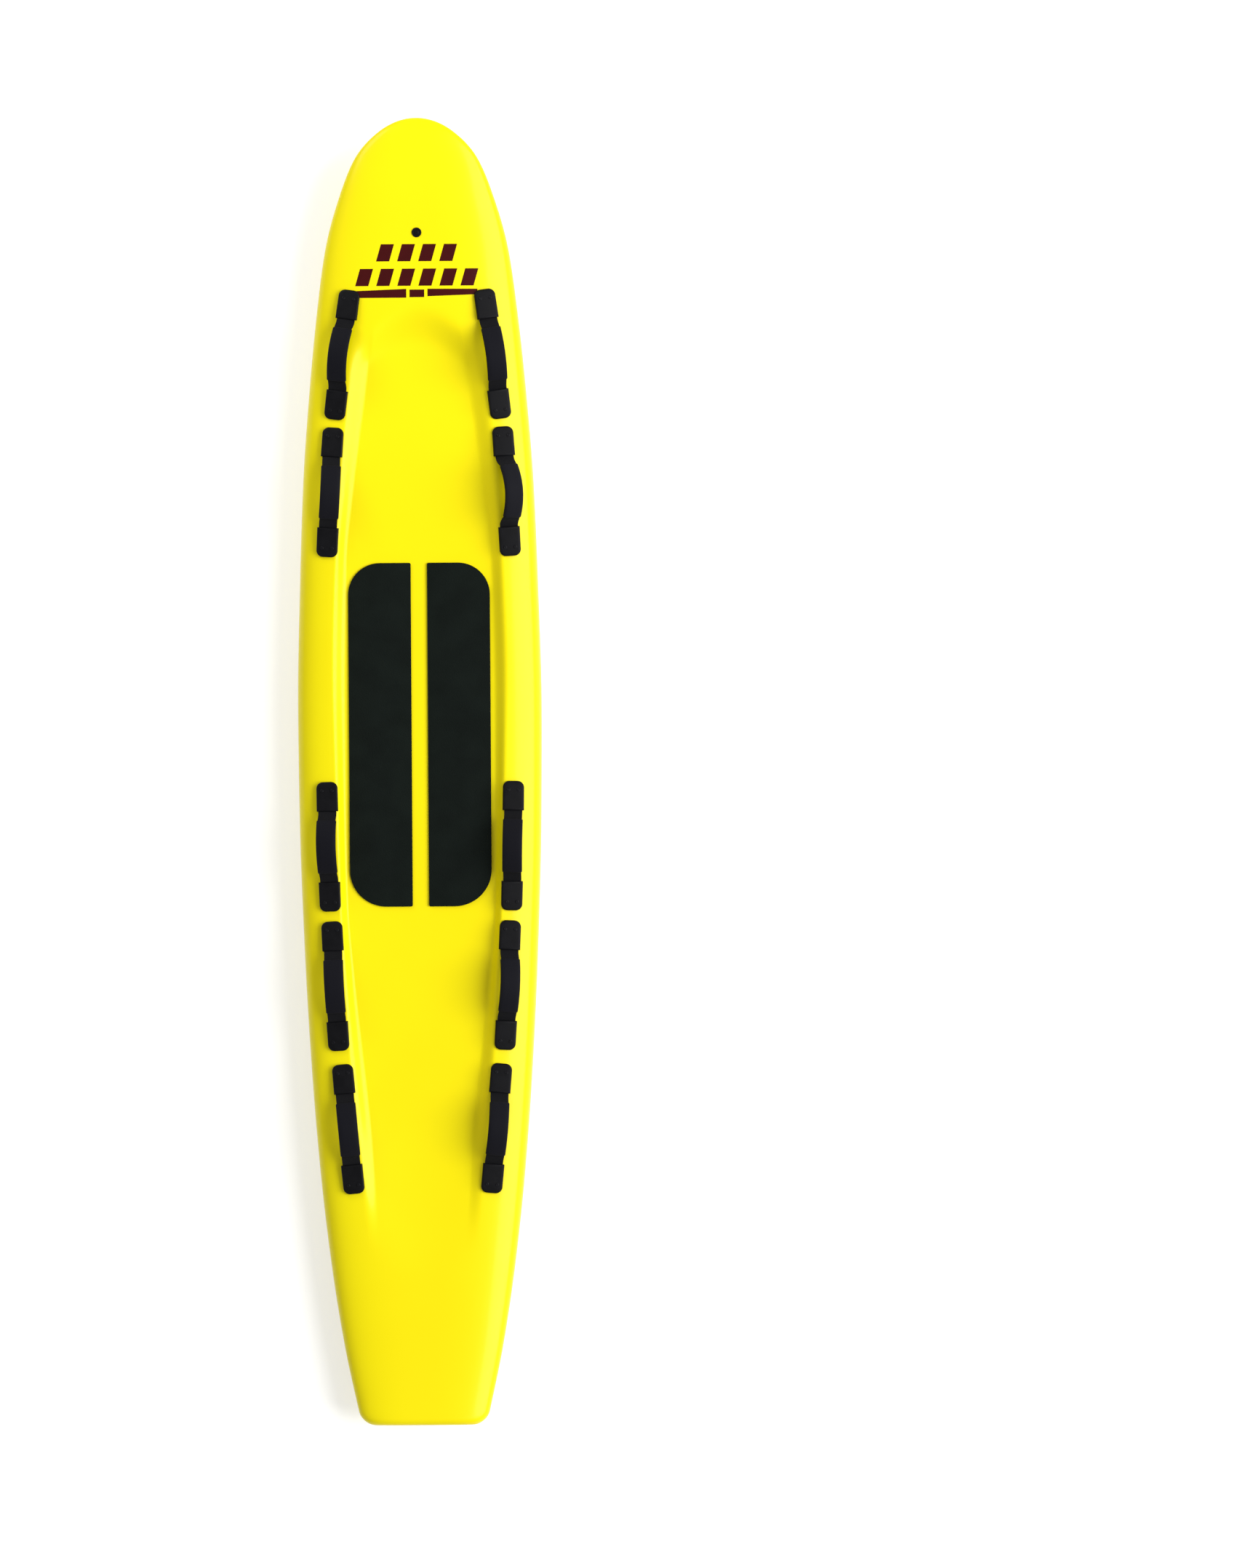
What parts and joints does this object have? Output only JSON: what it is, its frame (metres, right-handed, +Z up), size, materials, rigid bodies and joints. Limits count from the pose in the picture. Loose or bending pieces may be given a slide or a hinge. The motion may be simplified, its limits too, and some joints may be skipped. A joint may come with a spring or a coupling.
{
  "type": "rescue paddleboard",
  "caption": "Long prone rescue paddleboard with a sunk deck well, traction pads, arched grab handles along both rails, a screw vent and an empty fin box.",
  "frame": {"origin": "on the flat of the bottom that the board lies on, under the middle of its length and width", "axes": "+Y towards the nose, +X to the right seen from above, +Z up out of the deck"},
  "size_m": [0.5962, 3.2, 0.2125],
  "materials": {
    "gelcoat": "glossy yellow gelcoat over glass laminate",
    "foam_blank": "white expanded foam",
    "plywood": "bare plywood",
    "dense_foam": "dense structural foam",
    "pad_foam": "charcoal closed-cell foam with a fine pimpled texture",
    "black_plastic": "moulded black plastic",
    "cap_rubber": "satin moulded black rubber",
    "rubber_seal": "black nitrile rubber",
    "webbing": "woven black polyester webbing",
    "neoprene": "black neoprene with a knitted face"
  },
  "bodies": {
    "board": {"deck_skin": "gelcoat", "bottom_skin": "gelcoat", "stringer": "plywood", "foam_core_left": "foam_blank", "foam_core_right": "foam_blank", "fin_box": "black_plastic", "fin_box_block": "dense_foam", "vent_housing": "black_plastic", "handle_anchor_front_left": "dense_foam", "handle_anchor_front_right": "dense_foam", "handle_anchor_rear_left": "dense_foam", "handle_anchor_rear_right": "dense_foam", "traction_pad_left": "pad_foam", "traction_pad_right": "pad_foam", "handle_strap_left_1": "webbing", "end_cap_front_left_1": "cap_rubber", "end_cap_rear_left_1": "cap_rubber", "handle_strap_left_2": "webbing", "end_cap_front_left_2": "cap_rubber", "end_cap_rear_left_2": "cap_rubber", "handle_strap_left_3": "webbing", "end_cap_front_left_3": "cap_rubber", "end_cap_rear_left_3": "cap_rubber", "handle_strap_left_4": "webbing", "end_cap_front_left_4": "cap_rubber", "end_cap_rear_left_4": "cap_rubber", "handle_strap_left_5": "webbing", "end_cap_front_left_5": "cap_rubber", "end_cap_rear_left_5": "cap_rubber", "handle_strap_right_1": "webbing", "end_cap_front_right_1": "cap_rubber", "end_cap_rear_right_1": "cap_rubber", "handle_strap_right_2": "webbing", "end_cap_front_right_2": "cap_rubber", "end_cap_rear_right_2": "cap_rubber", "handle_strap_right_3": "webbing", "end_cap_front_right_3": "cap_rubber", "end_cap_rear_right_3": "cap_rubber", "handle_strap_right_4": "webbing", "end_cap_front_right_4": "cap_rubber", "end_cap_rear_right_4": "cap_rubber", "handle_strap_right_5": "webbing", "end_cap_front_right_5": "cap_rubber", "end_cap_rear_right_5": "cap_rubber"},
    "grip_left_1": {"grip_sleeve_left_1": "neoprene"},
    "grip_left_2": {"grip_sleeve_left_2": "neoprene"},
    "grip_left_3": {"grip_sleeve_left_3": "neoprene"},
    "grip_left_4": {"grip_sleeve_left_4": "neoprene"},
    "grip_left_5": {"grip_sleeve_left_5": "neoprene"},
    "grip_right_1": {"grip_sleeve_right_1": "neoprene"},
    "grip_right_2": {"grip_sleeve_right_2": "neoprene"},
    "grip_right_3": {"grip_sleeve_right_3": "neoprene"},
    "grip_right_4": {"grip_sleeve_right_4": "neoprene"},
    "grip_right_5": {"grip_sleeve_right_5": "neoprene"},
    "vent_seal": {"vent_o_ring": "rubber_seal"},
    "vent_plug": {"vent_screw": "black_plastic"}
  },
  "joints": [
    {"name": "grip_swing_left_1", "type": "hinge", "parent": "board", "child": "grip_left_1", "pos_m": [-0.18516, 1.02081, 0.16527], "axis": [-0.127, -0.9918, -0.0145], "range_deg": [-55, 45], "stiffness_Nm_per_rad": 0.3, "deforming": ["handle_strap_left_1"]},
    {"name": "grip_swing_left_2", "type": "hinge", "parent": "board", "child": "grip_left_2", "pos_m": [-0.21662, 0.6848, 0.16198], "axis": [-0.0562, -0.9984, -0.0052], "range_deg": [-38, 62], "stiffness_Nm_per_rad": 0.3, "deforming": ["handle_strap_left_2"]},
    {"name": "grip_swing_left_3", "type": "hinge", "parent": "board", "child": "grip_left_3", "pos_m": [-0.22567, -0.18241, 0.16151], "axis": [0.0209, -0.9998, -0.0021], "range_deg": [-49, 51], "stiffness_Nm_per_rad": 0.3, "deforming": ["handle_strap_left_3"]},
    {"name": "grip_swing_left_4", "type": "hinge", "parent": "board", "child": "grip_left_4", "pos_m": [-0.21149, -0.52364, 0.16059], "axis": [0.0499, -0.9986, -0.0169], "range_deg": [-43, 57], "stiffness_Nm_per_rad": 0.3, "deforming": ["handle_strap_left_4"]},
    {"name": "grip_swing_left_5", "type": "hinge", "parent": "board", "child": "grip_left_5", "pos_m": [-0.18184, -0.87377, 0.15682], "axis": [0.0882, -0.9958, -0.0232], "range_deg": [-40, 60], "stiffness_Nm_per_rad": 0.3, "deforming": ["handle_strap_left_5"]},
    {"name": "grip_swing_right_1", "type": "hinge", "parent": "board", "child": "grip_right_1", "pos_m": [0.18516, 1.02081, 0.16527], "axis": [-0.127, 0.9918, 0.0145], "range_deg": [-50, 50], "stiffness_Nm_per_rad": 0.3, "deforming": ["handle_strap_right_1"]},
    {"name": "grip_swing_right_2", "type": "hinge", "parent": "board", "child": "grip_right_2", "pos_m": [0.21662, 0.6848, 0.16198], "axis": [-0.0562, 0.9984, 0.0052], "range_deg": [-69, 31], "stiffness_Nm_per_rad": 0.3, "deforming": ["handle_strap_right_2"]},
    {"name": "grip_swing_right_3", "type": "hinge", "parent": "board", "child": "grip_right_3", "pos_m": [0.22567, -0.18241, 0.16151], "axis": [0.0209, 0.9998, 0.0021], "range_deg": [-38, 62], "stiffness_Nm_per_rad": 0.3, "deforming": ["handle_strap_right_3"]},
    {"name": "grip_swing_right_4", "type": "hinge", "parent": "board", "child": "grip_right_4", "pos_m": [0.21149, -0.52364, 0.16059], "axis": [0.0499, 0.9986, 0.0169], "range_deg": [-49, 51], "stiffness_Nm_per_rad": 0.3, "deforming": ["handle_strap_right_4"]},
    {"name": "grip_swing_right_5", "type": "hinge", "parent": "board", "child": "grip_right_5", "pos_m": [0.18184, -0.87377, 0.15682], "axis": [0.0882, 0.9958, 0.0232], "range_deg": [-46, 54], "stiffness_Nm_per_rad": 0.3, "deforming": ["handle_strap_right_5"]},
    {"name": "vent_lift", "type": "slide", "parent": "board", "child": "vent_seal", "axis": [0, -0.031, 0.9995], "range_m": [0, 0.005]},
    {"name": "vent_turn", "type": "hinge", "parent": "vent_seal", "child": "vent_plug", "pos_m": [0, 1.31898, 0.17196], "axis": [0, -0.031, 0.9995], "range_deg": [0, 1440]}
  ],
  "couplings": [
    {"joint": "vent_turn", "follows": "vent_lift", "rad_per_m": 5026.5}
  ]
}
